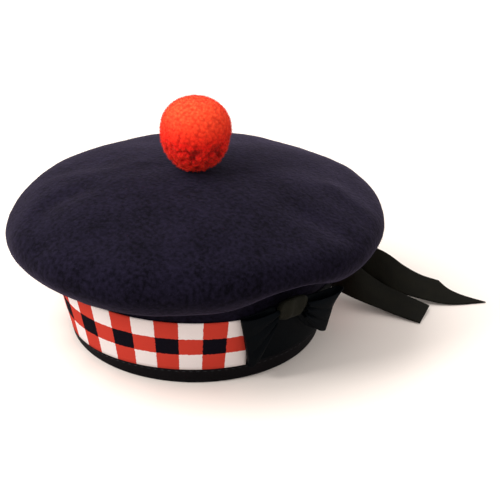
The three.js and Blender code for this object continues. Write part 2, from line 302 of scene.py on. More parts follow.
def add(tree, kind, inputs=None, **settings):
    """Adds a node with its settings. An input is a value, or the output that is linked to it."""
    node = tree.nodes.new(kind)
    for name, value in settings.items():
        setattr(node, name, value)
    for socket, value in (inputs or {}).items():
        if isinstance(value, bpy.types.NodeSocket):
            tree.links.new(value, node.inputs[socket])
        else:
            node.inputs[socket].default_value = value
    return node


def new_finish(name):
    """An empty material and its tree."""
    material = bpy.data.materials.new(name)
    material.use_nodes = True
    material.node_tree.nodes.clear()
    return material, material.node_tree


def felted_wool():
    """Milled wool felt: a dull purple navy, mottled by its nap and paler where it is seen edge on.

    The nap lies in tufts of 3 mm, coarser than real ones, so that they show in the picture.
    """
    material, tree = new_finish("felted_wool")
    place = add(tree, "ShaderNodeTexCoord").outputs["Object"]
    clouds = add(tree, "ShaderNodeTexNoise", {"Vector": place, "Scale": 1 / (26 * MM), "Detail": 2})
    nap = add(tree, "ShaderNodeTexNoise", {"Vector": place, "Scale": 1 / (3 * MM), "Detail": 4})
    mottle = add(
        tree, "ShaderNodeMath", {0: clouds.outputs[0], 1: 0.4, 2: nap.outputs[0]}, operation="MULTIPLY_ADD"
    )
    share = add(tree, "ShaderNodeMapRange", {"Value": mottle.outputs[0], "From Min": 0.5, "From Max": 0.9})
    colour = add(
        tree,
        "ShaderNodeMix",
        {0: share.outputs[0], 6: linear("#030207"), 7: linear("#15111f")},
        data_type="RGBA",
    )
    relief = add(tree, "ShaderNodeBump", {"Height": nap.outputs[0], "Strength": 0.8, "Distance": 0.7 * MM})
    shader = add(
        tree,
        "ShaderNodeBsdfPrincipled",
        {
            "Base Color": colour.outputs[2],
            "Normal": relief.outputs[0],
            "Roughness": 0.95,
            "Specular IOR Level": 0.05,
            "Sheen Weight": 0.155,
            "Sheen Roughness": 0.42,
            "Sheen Tint": linear("#b3a2c8"),
        },
    )
    add(tree, "ShaderNodeOutputMaterial", {"Surface": shader.outputs[0]})
    return material


def loose_fibre(name, dark, pale):
    """Loose wool fibres: the cloth's own colour, with a few paler ones that catch the light."""
    material, tree = new_finish(name)
    shade = add(tree, "ShaderNodeAttribute", attribute_name="shade").outputs["Fac"]
    colour = add(tree, "ShaderNodeMix", {0: shade, 6: linear(dark), 7: linear(pale)}, data_type="RGBA")
    shader = add(
        tree,
        "ShaderNodeBsdfPrincipled",
        {"Base Color": colour.outputs[2], "Roughness": 0.9, "Specular IOR Level": 0.15},
    )
    add(tree, "ShaderNodeOutputMaterial", {"Surface": shader.outputs[0]})
    return material


def diced_weave():
    """Worsted diced ribbon: matt red, white and navy checks, whose edges step from thread to thread.

    The threads are drawn about twice as coarse as real ones, so that they show in the picture.
    """
    material, tree = new_finish("diced_weave")
    thread = 1.3 * MM
    flat = add(tree, "ShaderNodeUVMap", uv_map="cloth").outputs[0]
    wander = add(tree, "ShaderNodeTexNoise", {"Vector": flat, "Scale": 1 / thread, "Detail": 1})
    centred = add(
        tree, "ShaderNodeVectorMath", {0: wander.outputs["Color"], 1: (0.5, 0.5, 0.5)}, operation="SUBTRACT"
    )
    stepped = add(
        tree,
        "ShaderNodeVectorMath",
        {0: centred.outputs[0], 1: (thread, thread, 0), 2: flat},
        operation="MULTIPLY_ADD",
    )
    ways = add(tree, "ShaderNodeSeparateXYZ", {0: stepped.outputs[0]})
    columns = add(tree, "ShaderNodeMath", {0: ways.outputs[0], 1: CHECK_WIDTH}, operation="DIVIDE")
    column = add(tree, "ShaderNodeMath", {0: columns.outputs[0]}, operation="FLOOR")
    odd = add(tree, "ShaderNodeMath", {0: column.outputs[0], 1: 2.0}, operation="MODULO")
    rows = add(tree, "ShaderNodeMath", {0: ways.outputs[1], 1: CHECK_HEIGHT}, operation="DIVIDE")
    row = add(tree, "ShaderNodeMath", {0: rows.outputs[0]}, operation="FLOOR")
    middle = add(tree, "ShaderNodeMath", {0: row.outputs[0], 1: 1.0, 2: 0.1}, operation="COMPARE")
    red = linear("#d03f31")
    even_column = add(
        tree, "ShaderNodeMix", {0: middle.outputs[0], 6: red, 7: linear("#0d0a14")}, data_type="RGBA"
    )
    odd_column = add(
        tree, "ShaderNodeMix", {0: middle.outputs[0], 6: linear("#f9ebe7"), 7: red}, data_type="RGBA"
    )
    check = add(
        tree,
        "ShaderNodeMix",
        {0: odd.outputs[0], 6: even_column.outputs[2], 7: odd_column.outputs[2]},
        data_type="RGBA",
    )
    # Threads along and up the ribbon as small crossing waves, with painted shade where the waves dip between
    # threads
    turns = add(
        tree,
        "ShaderNodeVectorMath",
        {0: flat, 1: (2 * math.pi / thread, 2 * math.pi / thread, 0)},
        operation="MULTIPLY",
    )
    waves = add(tree, "ShaderNodeVectorMath", {0: turns.outputs[0]}, operation="SINE")
    wave = add(tree, "ShaderNodeSeparateXYZ", {0: waves.outputs[0]})
    weave = add(tree, "ShaderNodeMath", {0: wave.outputs[0], 1: wave.outputs[1]}, operation="MULTIPLY")
    hollow = add(
        tree, "ShaderNodeMapRange", {"Value": weave.outputs[0], "From Min": -1, "To Min": 0.84, "To Max": 1.0}
    )
    painted_weave_shade = add(
        tree,
        "ShaderNodeMix",
        {0: 1.0, 6: check.outputs[2], 7: hollow.outputs[0]},
        data_type="RGBA",
        blend_type="MULTIPLY",
    )
    relief = add(tree, "ShaderNodeBump", {"Height": weave.outputs[0], "Strength": 0.5, "Distance": 0.15 * MM})
    shader = add(
        tree,
        "ShaderNodeBsdfPrincipled",
        {
            "Base Color": painted_weave_shade.outputs[2],
            "Normal": relief.outputs[0],
            "Roughness": 0.9,
            "Specular IOR Level": 0.06,
        },
    )
    add(tree, "ShaderNodeOutputMaterial", {"Surface": shader.outputs[0]})
    return material


def ribbed_ribbon(name, dark, pale):
    """Black ribbed silk-faced ribbon: fine ribs across its width and a faint gloss on its folds."""
    material, tree = new_finish(name)
    rib = 1.1 * MM
    flat = add(tree, "ShaderNodeUVMap", uv_map="cloth").outputs[0]
    ways = add(tree, "ShaderNodeSeparateXYZ", {0: flat})
    turn = add(tree, "ShaderNodeMath", {0: ways.outputs[0], 1: 2 * math.pi / rib}, operation="MULTIPLY")
    ribs = add(tree, "ShaderNodeMath", {0: turn.outputs[0]}, operation="SINE")
    wear = add(tree, "ShaderNodeTexNoise", {"Vector": flat, "Scale": 1 / (9 * MM), "Detail": 4})
    colour = add(
        tree,
        "ShaderNodeMix",
        {0: wear.outputs[0], 6: linear(dark), 7: linear(pale)},
        data_type="RGBA",
    )
    gloss = add(tree, "ShaderNodeMapRange", {"Value": wear.outputs[0], "To Min": 0.38, "To Max": 0.58})
    relief = add(tree, "ShaderNodeBump", {"Height": ribs.outputs[0], "Strength": 0.4, "Distance": 0.12 * MM})
    shader = add(
        tree,
        "ShaderNodeBsdfPrincipled",
        {
            "Base Color": colour.outputs[2],
            "Normal": relief.outputs[0],
            "Roughness": gloss.outputs[0],
            "Specular IOR Level": 0.03,
        },
    )
    add(tree, "ShaderNodeOutputMaterial", {"Surface": shader.outputs[0]})
    return material


def wool_yarn():
    """Clipped scarlet wool yarn: painted light makes the ends orange on top, painted shade deep crimson in
    grooves.
    """
    material, tree = new_finish("wool_yarn")
    place = add(tree, "ShaderNodeTexCoord").outputs["Object"]
    blend = add(tree, "ShaderNodeTexNoise", {"Vector": place, "Scale": 1 / (3 * MM), "Detail": 3})
    fuzz = add(tree, "ShaderNodeTexNoise", {"Vector": place, "Scale": 1 / (0.7 * MM), "Detail": 2})
    height = add(tree, "ShaderNodeSeparateXYZ", {0: place})
    # Painted light: the ends grow paler orange towards the top, mixed with a random blend
    top_light = add(
        tree,
        "ShaderNodeMapRange",
        {
            "Value": height.outputs[2],
            "From Min": TOORIE_LOW.z,
            "From Max": TOORIE_HIGH.z,
            "To Min": TOP_LIGHT_AT_FOOT,
        },
    )
    top_light_and_tone = add(
        tree,
        "ShaderNodeMath",
        {0: blend.outputs[0], 1: 0.4, 2: top_light.outputs[0]},
        operation="MULTIPLY_ADD",
        use_clamp=True,
    )
    ends = add(
        tree,
        "ShaderNodeMix",
        {0: top_light_and_tone.outputs[0], 6: linear("#f3180f"), 7: linear("#ff5a30")},
        data_type="RGBA",
    )
    # Painted shade: deep crimson where the shade mark is low, in the grooves and pits
    shade = add(tree, "ShaderNodeAttribute", attribute_name="shade").outputs["Fac"]
    colour = add(
        tree, "ShaderNodeMix", {0: shade, 6: linear("#9c0b0c"), 7: ends.outputs[2]}, data_type="RGBA"
    )
    relief = add(tree, "ShaderNodeBump", {"Height": fuzz.outputs[0], "Strength": 0.6, "Distance": 0.4 * MM})
    shader = add(
        tree,
        "ShaderNodeBsdfPrincipled",
        {
            "Base Color": colour.outputs[2],
            "Normal": relief.outputs[0],
            "Roughness": 0.9,
            "Specular IOR Level": 0.15,
            "Sheen Weight": 0.2,
            "Sheen Tint": linear("#ff9a7a"),
        },
    )
    add(tree, "ShaderNodeOutputMaterial", {"Surface": shader.outputs[0]})
    return material


def cotton_thread():
    """Black waxed sewing cotton: soft gloss and a tight twist."""
    material, tree = new_finish("cotton_thread")
    place = add(tree, "ShaderNodeTexCoord").outputs["Object"]
    twist = add(tree, "ShaderNodeTexNoise", {"Vector": place, "Scale": 1 / (0.5 * MM), "Detail": 2})
    colour = add(
        tree,
        "ShaderNodeMix",
        {0: twist.outputs[0], 6: linear("#0c0c0f"), 7: linear("#26262b")},
        data_type="RGBA",
    )
    relief = add(tree, "ShaderNodeBump", {"Height": twist.outputs[0], "Strength": 0.5, "Distance": 0.1 * MM})
    shader = add(
        tree,
        "ShaderNodeBsdfPrincipled",
        {
            "Base Color": colour.outputs[2],
            "Normal": relief.outputs[0],
            "Roughness": 0.6,
            "Specular IOR Level": 0.3,
        },
    )
    add(tree, "ShaderNodeOutputMaterial", {"Surface": shader.outputs[0]})
    return material


def studio_paper():
    """Matt white background paper. It throws less light back on the bonnet than its own white would."""
    material, tree = new_finish("studio_paper")
    seen = add(tree, "ShaderNodeLightPath").outputs["Is Camera Ray"]
    colour = add(
        tree, "ShaderNodeMix", {0: seen, 6: linear("#b4ada7"), 7: linear("#f6eae1")}, data_type="RGBA"
    )
    shader = add(
        tree,
        "ShaderNodeBsdfPrincipled",
        {"Base Color": colour.outputs[2], "Roughness": 1.0, "Specular IOR Level": 0.0},
    )
    add(tree, "ShaderNodeOutputMaterial", {"Surface": shader.outputs[0]})
    return material


def mix(a, b, share):
    """The value at a share of the way from a to b."""
    return a + (b - a) * share


def ease(value, start, full):
    """A smooth step from 0 at start to 1 at full."""
    share = np.clip((value - start) / (full - start), 0, 1)
    return share * share * (3 - 2 * share)


def steps(along, across):
    """Two grids of shares from 0 to 1: along a cloth and across it."""
    return np.meshgrid(np.linspace(0, 1, along), np.linspace(0, 1, across), indexing="ij")


def through(points, share):
    """A smooth curve through points, at a share of the way along them, even in steps of points."""
    points = np.array(points, float)
    ends = np.concatenate([[2 * points[0] - points[1]], points, [2 * points[-1] - points[-2]]])
    step = np.clip(share * (len(points) - 1), 0, len(points) - 1 - TINY)
    first = step.astype(int)
    t = (step - first)[..., None]
    a, b, c, d = (ends[first + k] for k in range(4))
    spans = [
        np.maximum(np.linalg.norm(q - p, axis=-1, keepdims=True), TINY) ** 0.5
        for p, q in ((a, b), (b, c), (c, d))
    ]
    enter = spans[1] * ((b - a) / spans[0] - (c - a) / (spans[0] + spans[1]) + (c - b) / spans[1])
    leave = spans[1] * ((c - b) / spans[1] - (d - b) / (spans[1] + spans[2]) + (d - c) / spans[2])
    return b + t * (enter + t * (3 * (c - b) - 2 * enter - leave + t * (2 * (b - c) + enter + leave)))


def headband_point(angle, height, out):
    """Points over the headband's outer face at angles and heights, moved out level by so much."""
    angle, height, out = np.broadcast_arrays(np.radians(angle), height, out)
    rise = (height - HEADBAND_FOOT[2]) / (HEADBAND_TOP[2] - HEADBAND_FOOT[2])
    half_width = mix(HEADBAND_FOOT[0], HEADBAND_TOP[0], rise) + out
    half_length = mix(HEADBAND_FOOT[1], HEADBAND_TOP[1], rise) + out
    return np.stack([np.sin(angle) * half_width, -np.cos(angle) * half_length, height], axis=-1)


def over_headband(angle, along, height, out):
    """Points so far along the headband from an angle, at heights and so far out."""
    return headband_point(angle + np.degrees(along / HEADBAND_RADIUS), height, out)


def seam_dip(angle):
    """How far the seam under the dicing dips at each angle."""
    off = (angle - DIP_ANGLE + 180) % 360 - 180
    return SEAM_DIP * np.exp(-((off / DIP_SPREAD) ** 2))


def uneven(points, size):
    """A smooth random shift at each point, which changes over about this size."""
    shifts = [noise.noise_vector(Vector(p) / size) for p in points.reshape(-1, 3)]
    return np.array(shifts).reshape(points.shape)


def in_scene(name, data):
    """A new object in the scene."""
    made = bpy.data.objects.new(name, data)
    bpy.context.scene.collection.objects.link(made)
    return made


def piece(name, mesh, material, slot, *nodes):
    """A finished piece of the bonnet, which stands for these solids."""
    made = in_scene(name, mesh)
    mesh.materials.clear()
    mesh.materials.append(material)
    mesh.polygons.foreach_set("use_smooth", [True] * len(mesh.polygons))
    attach(made, BODY)
    if nodes:
        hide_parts(*nodes)
    return made


def lay_flat(mesh, flat):
    """Gives each point its place on the flat cloth, as a UV map."""
    layer = mesh.uv_layers.new(name="cloth")
    used = np.zeros(len(mesh.loops), np.int32)
    mesh.loops.foreach_get("vertex_index", used)
    layer.data.foreach_set("uv", flat.reshape(-1, 2)[used].astype(np.float32).ravel())


def mark(mesh, name, values):
    """Stores a value at each point of a mesh."""
    mesh.attributes.new(name, "FLOAT", "POINT").data.foreach_set("value", values.astype(np.float32))


def cloth_mesh(name, face, flat, wall, closed=False):
    """A cloth wall with rounded edges.

    face holds the points of its outer face, rows along it and columns across it. (along x across) looks out.
    flat holds the same points on the flat cloth. A closed cloth's last row is its first.
    """
    ring = np.concatenate([face[-2:-1], face, face[1:2]]) if closed else face
    along = np.gradient(ring, axis=0)[1:-1] if closed else np.gradient(ring, axis=0)
    across = np.gradient(face, axis=1)
    normal = np.cross(along, across)
    normal /= np.linalg.norm(normal, axis=-1, keepdims=True)
    inner = face - normal * wall
    edges = []
    for side, way in ((-1, 1), (0, -1)):
        beyond = way * across[:, side] / np.linalg.norm(across[:, side], axis=-1, keepdims=True)
        edges.append(((face[:, side] + inner[:, side]) / 2 + beyond * wall * EDGE_BULGE)[:, None])
    section = np.concatenate([face, edges[0], inner[:, ::-1], edges[1]], axis=1)
    laid = np.concatenate([flat, flat[:, -1:], flat[:, ::-1], flat[:, :1]], axis=1)
    rows, count = section.shape[:2]
    columns = face.shape[1]
    corners = np.arange(rows * count).reshape(rows, count)
    following = np.roll(corners, -1, axis=1)
    walls = np.stack([corners[:-1], corners[1:], following[1:], following[:-1]], axis=-1).reshape(-1, 4)
    faces = walls.tolist()
    if not closed:
        last = 2 * columns
        cap = [[j, j + 1, last - j - 1, last - j] for j in range(columns - 1)]
        cap += [[columns - 1, columns, columns + 1], [last, last + 1, 0]]
        faces += cap
        faces += [[(rows - 1) * count + corner for corner in reversed(f)] for f in cap]
    mesh = bpy.data.meshes.new(name)
    mesh.from_pydata(section.reshape(-1, 3).tolist(), [], faces)
    lay_flat(mesh, laid)
    if closed:
        seam = bmesh.new()
        seam.from_mesh(mesh)
        bmesh.ops.remove_doubles(seam, verts=seam.verts, dist=WELD)
        seam.to_mesh(mesh)
        seam.free()
    return mesh


def rounded(mesh, levels):
    """The mesh rounded by subdivision."""
    cage = in_scene("cage", mesh)
    rounding = cage.modifiers.new("rounding", "SUBSURF")
    rounding.levels = levels
    rounding.render_levels = levels
    made = bpy.data.meshes.new_from_object(cage.evaluated_get(bpy.context.evaluated_depsgraph_get()))
    bpy.data.objects.remove(cage)
    return made


def places(mesh):
    """The mesh's points as an array."""
    points = np.zeros(len(mesh.vertices) * 3, np.float32)
    mesh.vertices.foreach_get("co", points)
    return points.reshape(-1, 3).astype(float)


def move_to(mesh, points):
    """Moves the mesh's points to these places."""
    mesh.vertices.foreach_set("co", points.astype(np.float32).ravel())
    mesh.update()


def felt_body():
    """Crown and headband: the solid's own facets, rounded through their corners and uneven as felt is."""
    facets = bmesh.new()
    facets.from_mesh(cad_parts["crown"].data)
    bmesh.ops.remove_doubles(facets, verts=facets.verts, dist=WELD)
    bmesh.ops.join_triangles(
        facets,
        faces=facets.faces,
        angle_face_threshold=math.radians(QUAD_FACE_ANGLE),
        angle_shape_threshold=math.radians(QUAD_SHAPE_ANGLE),
    )
    cage = bpy.data.meshes.new("crown_cage")
    facets.to_mesh(cage)
    facets.free()
    # Rounding draws a cage in, so above the binding it is let out until the felt meets the solid's corners
    corners = places(cage)
    let_out = corners.copy()
    above_binding = corners[:, 2] > BINDING_OUTSIDE
    for _ in range(LET_OUT_ROUNDS):
        drawn_in = places(rounded(cage, 1))[: len(corners)]
        let_out[above_binding] += (corners - drawn_in)[above_binding]
        move_to(cage, let_out)
    mesh = rounded(cage, FELT_ROUNDING)
    points = places(mesh)
    soft = ease(points[:, 2:], FELT_EVEN_BELOW, FELT_UNEVEN_ABOVE)
    for part in FELT_UNEVENNESS:
        points += soft * part["depth"] * uneven(points, part["size"])
    folded = ease(points[:, 2], FOLDS_FROM, FOLDS_FULL)
    for fold in FELT_FOLDS:
        line = through(fold["route"], np.linspace(0, 1, FOLD_STEPS)) * MM
        off = np.linalg.norm(points[:, None, :2] - line, axis=2).min(axis=1)
        points[:, 2] += fold["rise"] * folded * np.exp(-((off / fold["width"]) ** 2))
    move_to(mesh, points)
    return mesh


def cover_outside(mesh):
    """Marks where the crown's nap grows: on its outer face, above the headband."""
    points = places(mesh)
    normals = np.zeros(len(mesh.vertices) * 3, np.float32)
    mesh.vertices.foreach_get("normal", normals)
    looks_out = ((points - FELT_MIDDLE) * normals.reshape(-1, 3)).sum(axis=1) > 0
    cover = looks_out * ease(points[:, 2], FELT_EVEN_BELOW, FELT_UNEVEN_ABOVE)
    mark(mesh, "cover", cover)


def strand_mesh(length, bend, radius):
    """A tapering three-sided fibre that stands on the origin and bends over towards its tip."""
    rings = []
    for ring in STRAND_RINGS:
        for corner in range(3):
            turn = 2 * math.pi * corner / 3
            x = radius * ring["thick"] * math.cos(turn)
            y = radius * ring["thick"] * math.sin(turn)
            rings.append((bend * ring["along"] ** 2 + x, y, length * ring["along"]))
    faces = [[2, 1, 0]]
    for a, b in ((0, 1), (1, 2), (2, 0)):
        faces += [[a, b, 3 + b, 3 + a], [3 + a, 3 + b, 6]]
    mesh = bpy.data.meshes.new("strand")
    mesh.from_pydata([*rings, (bend, 0, length)], [], faces)
    return mesh


def strand_tree():
    """Strands on a surface: one at each scattered point, standing out, leaning and sized at random."""
    tree = bpy.data.node_groups.new("strands_on_surface", "GeometryNodeTree")
    sockets = {
        name: tree.interface.new_socket(name, in_out="INPUT", socket_type="NodeSocket" + kind).identifier
        for name, kind in (
            ("Surface", "Geometry"),
            ("Strand", "Object"),
            ("Spacing", "Float"),
            ("Lean", "Float"),
            ("Shortest", "Float"),
            ("Seed", "Int"),
            ("Material", "Material"),
        )
    }
    tree.interface.new_socket("Strands", in_out="OUTPUT", socket_type="NodeSocketGeometry")
    given = add(tree, "NodeGroupInput").outputs
    cover = add(tree, "GeometryNodeInputNamedAttribute", {"Name": "cover"}, data_type="FLOAT")
    # Far more points than fit are tried, so that the spacing alone says how many stay
    area = add(tree, "ShaderNodeMath", {0: given["Spacing"], 1: 2.0}, operation="POWER")
    crowd = add(tree, "ShaderNodeMath", {0: 6.0, 1: area.outputs[0]}, operation="DIVIDE")
    spots = add(
        tree,
        "GeometryNodeDistributePointsOnFaces",
        {
            "Mesh": given["Surface"],
            "Distance Min": given["Spacing"],
            "Density Max": crowd.outputs[0],
            "Density Factor": cover.outputs[0],
            "Seed": given["Seed"],
        },
        distribute_method="POISSON",
    )
    sideways = add(
        tree, "FunctionNodeRandomValue", {0: (-1, -1, -1), 1: (1, 1, 1), "Seed": 1}, data_type="FLOAT_VECTOR"
    )
    tilt = add(
        tree,
        "ShaderNodeVectorMath",
        {0: sideways.outputs[0], 3: given["Lean"]},
        operation="SCALE",
    )
    upright = add(
        tree, "ShaderNodeVectorMath", {0: tilt.outputs[0], 1: spots.outputs["Normal"]}, operation="ADD"
    )
    spin = add(
        tree,
        "FunctionNodeRandomValue",
        {0: (0, 0, 0), 1: (0, 0, 2 * math.pi), "Seed": 2},
        data_type="FLOAT_VECTOR",
    )
    turned = add(tree, "FunctionNodeEulerToRotation", {0: spin.outputs[0]})
    stood = add(
        tree,
        "FunctionNodeAlignRotationToVector",
        {"Rotation": turned.outputs[0], "Vector": upright.outputs[0]},
        axis="Z",
    )
    size = add(tree, "FunctionNodeRandomValue", {2: given["Shortest"], 3: 1.0, "Seed": 3}, data_type="FLOAT")
    strand = add(tree, "GeometryNodeObjectInfo", {"Object": given["Strand"]})
    grown = add(
        tree,
        "GeometryNodeInstanceOnPoints",
        {
            "Points": spots.outputs["Points"],
            "Instance": strand.outputs["Geometry"],
            "Rotation": stood.outputs[0],
            "Scale": size.outputs[1],
        },
    )
    tint = add(tree, "FunctionNodeRandomValue", {2: 0.0, 3: 1.0, "Seed": 4}, data_type="FLOAT")
    tinted = add(
        tree,
        "GeometryNodeStoreNamedAttribute",
        {"Geometry": grown.outputs[0], "Name": "shade", "Value": tint.outputs[1]},
        data_type="FLOAT",
        domain="INSTANCE",
    )
    real = add(tree, "GeometryNodeRealizeInstances", {"Geometry": tinted.outputs[0]})
    dressed = add(
        tree, "GeometryNodeSetMaterial", {"Geometry": real.outputs[0], "Material": given["Material"]}
    )
    add(tree, "NodeGroupOutput", {0: dressed.outputs[0]})
    return tree, sockets


def stitch_tree():
    """Running stitches along a path: a short round thread at each step of it."""
    tree = bpy.data.node_groups.new("stitches_along_path", "GeometryNodeTree")
    sockets = {
        name: tree.interface.new_socket(name, in_out="INPUT", socket_type="NodeSocket" + kind).identifier
        for name, kind in (
            ("Path", "Geometry"),
            ("Pitch", "Float"),
            ("Length", "Float"),
            ("Thickness", "Float"),
            ("Material", "Material"),
        )
    }
    tree.interface.new_socket("Stitches", in_out="OUTPUT", socket_type="NodeSocketGeometry")
    given = add(tree, "NodeGroupInput").outputs
    line = add(tree, "GeometryNodeMeshToCurve", {"Mesh": given["Path"]})
    spaced = add(
        tree, "GeometryNodeResampleCurve", {"Curve": line.outputs[0], "Length": given["Pitch"]}, mode="LENGTH"
    )
    way = add(tree, "GeometryNodeInputTangent")
    laid = add(tree, "FunctionNodeAlignRotationToVector", {"Vector": way.outputs[0]}, axis="X")
    bead = add(tree, "GeometryNodeMeshUVSphere", {"Segments": 8, "Rings": 6, "Radius": 0.5})
    size = add(
        tree, "ShaderNodeCombineXYZ", {0: given["Length"], 1: given["Thickness"], 2: given["Thickness"]}
    )
    sewn = add(
        tree,
        "GeometryNodeInstanceOnPoints",
        {
            "Points": spaced.outputs[0],
            "Instance": bead.outputs["Mesh"],
            "Rotation": laid.outputs[0],
            "Scale": size.outputs[0],
        },
    )
    real = add(tree, "GeometryNodeRealizeInstances", {"Geometry": sewn.outputs[0]})
    dressed = add(
        tree, "GeometryNodeSetMaterial", {"Geometry": real.outputs[0], "Material": given["Material"]}
    )
    add(tree, "NodeGroupOutput", {0: dressed.outputs[0]})
    return tree, sockets


def made_by(tree, sockets, base, **values):
    """What a tree makes on a base mesh, as a plain mesh."""
    holder = in_scene("holder", base)
    maker = holder.modifiers.new("maker", "NODES")
    maker.node_group = tree
    for name, value in values.items():
        maker[sockets[name]] = value
    made = bpy.data.meshes.new_from_object(holder.evaluated_get(bpy.context.evaluated_depsgraph_get()))
    bpy.data.objects.remove(holder)
    return made


def strands(tree, base, row, material):
    """A row's strands, grown on a base mesh where its cover says so."""
    strand = in_scene("strand", strand_mesh(row["length"], row["bend"], row["radius"]))
    made = made_by(
        *tree,
        base,
        Strand=strand,
        Spacing=row["spacing"],
        Lean=row["lean"],
        Shortest=STRAND_SHORTEST,
        Seed=row["seed"],
        Material=material,
    )
    bpy.data.objects.remove(strand)
    return made


def bunches(points, size):
    """0 in the middle of each random bunch of about this size, rising to 1 in the grooves between them."""
    apart = np.array([noise.voronoi(Vector(p) / size)[0][0] for p in points])
    return np.clip(apart / GROOVE_FULL, 0, 1) ** 2


def toorie_yarn():
    """Toorie: a ball of clipped yarn ends, with grooves between them, pressed flat where it sits."""
    ball = bmesh.new()
    bmesh.ops.create_icosphere(ball, subdivisions=TOORIE_SUBDIVISIONS, radius=1)
    mesh = bpy.data.meshes.new("toorie")
    ball.to_mesh(mesh)
    ball.free()
    ways = places(mesh)
    parted = ease(ways[:, 2], LOCKS_FROM, LOCKS_FULL)
    groove = bunches(ways * TOORIE_RADIUS, YARN_END) * mix(YARN_GROOVE_ABOVE, 1, parted)
    pit = bunches(ways * TOORIE_RADIUS, LOCK) ** 2 * parted
    reach = TOORIE_RADIUS - YARN_GROOVE * groove - LOCK_GROOVE * pit
    for bulge in TOORIE_BULGES:
        off = np.linalg.norm(ways - np.array(Vector(bulge["way"]).normalized()), axis=1)
        reach += bulge["out"] * np.exp(-((off / bulge["width"]) ** 2))
    level = np.maximum(np.hypot(ways[:, 0], ways[:, 1]), TOORIE_AXIS)
    wide = TOORIE_WIDE * (1 + TOORIE_TOP_FULL * ways[:, 2]) * level ** (TOORIE_FULLNESS - 1)
    shape = np.stack([wide, wide, np.full(len(ways), TOORIE_TALL)], axis=1)
    points = np.array(TOORIE_CENTRE) + ways * reach[:, None] * shape
    points[:, 2] = np.maximum(points[:, 2], TOORIE_LOW.z)
    move_to(mesh, points)
    # Painted shade: the shade mark is lowest in the grooves and pits, where the yarn turns deep crimson
    top = np.clip(1 - LOCK_SHADE * pit, 0, 1)
    mark(mesh, "cover", (ways[:, 2] > BARE_BELOW) * top)
    mark(mesh, "shade", (1 - groove) * top)
    return mesh


def diced_border():
    """The diced ribbon, from the cockade's rear round the headband to its front, eased on to the felt."""
    along, across = steps(DICE_COLUMNS * CHECK_STEPS[0] + 1, DICE_ROWS * CHECK_STEPS[1] + 1)
    angle = mix(COCKADE_REAR, COCKADE_FRONT + 360, along)
    dip = seam_dip(angle)
    height = mix(DICE_FOOT - dip, DICE_TOP - dip * TOP_DIP, across)
    taut = headband_point(angle, height, GAP + DICING_WALL)
    ripple = DICING_EASE * (0.5 + 0.5 * uneven(taut, DICING_EASE_SIZE)[..., 0])
    face = headband_point(angle, height, GAP + DICING_WALL + ripple)
    flat = np.stack([along * DICE_LENGTH, across * (DICE_TOP - DICE_FOOT)], axis=-1)
    return cloth_mesh("diced_border", face, flat, DICING_WALL)


def edge_binding():
    """The ribbon folded under the headband's edge, up the inside and the outside."""
    outside = GAP + RIBBON_WALL
    inside = -(FELT_WALL + 2 * GAP + RIBBON_WALL)
    bend = np.radians(np.linspace(0, 90, BINDING_FOLD_STEPS))
    down = np.linspace(BINDING_INSIDE, BINDING_FOLD, BINDING_SIDE_STEPS)[:-1]
    up = np.linspace(BINDING_FOLD, BINDING_OUTSIDE, BINDING_SIDE_STEPS)[1:]
    out = np.concatenate(
        [
            np.full(len(down), inside),
            inside + BINDING_FOLD * (1 - np.cos(bend)),
            outside - BINDING_FOLD * (1 - np.sin(bend)),
            np.full(len(up), outside),
        ]
    )
    height = np.concatenate([down, BINDING_FOLD * (1 - np.sin(bend)), BINDING_FOLD * (1 - np.cos(bend)), up])
    run = np.concatenate([[0], np.cumsum(np.hypot(np.diff(out), np.diff(height)))])
    along, _ = steps(BINDING_STEPS, len(run))
    even = headband_point(along * 360, height, out)
    # The free edges wander a little, the outer one follows the seam, and the fold stays on the surface
    lower = BINDING_WANDER * (0.5 + 0.5 * uneven(even, BINDING_WANDER_SIZE)[..., 0])
    lower += np.where(out > 0, seam_dip(along * 360), 0)
    free = np.clip((height - BINDING_FOLD) / (BINDING_OUTSIDE - BINDING_FOLD), 0, 1)
    face = headband_point(along * 360, height - lower * free, out)
    flat = np.stack([along * 2 * math.pi * HEADBAND_FOOT[1], np.broadcast_to(run, along.shape)], axis=-1)
    return cloth_mesh("binding", face, flat, RIBBON_WALL, closed=True)


def binding_path():
    """The line along the binding that its stitches follow."""
    angle = np.linspace(0, 360, BINDING_STEPS)[:-1]
    points = headband_point(angle, STITCH_HEIGHT - seam_dip(angle), GAP + RIBBON_WALL)
    mesh = bpy.data.meshes.new("binding_path")
    mesh.from_pydata(points.tolist(), [(i, (i + 1) % len(angle)) for i in range(len(angle))], [])
    return mesh


def cockade_base():
    """The flat ribbon panel under the bow."""
    along, across = steps(*PANEL_STEPS)
    end_gap = np.degrees(GAP / HEADBAND_RADIUS)
    angle = mix(COCKADE_FRONT + end_gap, COCKADE_REAR - end_gap, along)
    height = mix(DICE_FOOT, DICE_TOP, across)
    flat = np.stack([along * PANEL_LENGTH, across * (DICE_TOP - DICE_FOOT)], axis=-1)
    return cloth_mesh("cockade_base", headband_point(angle, height, GAP + DICING_WALL), flat, DICING_WALL)


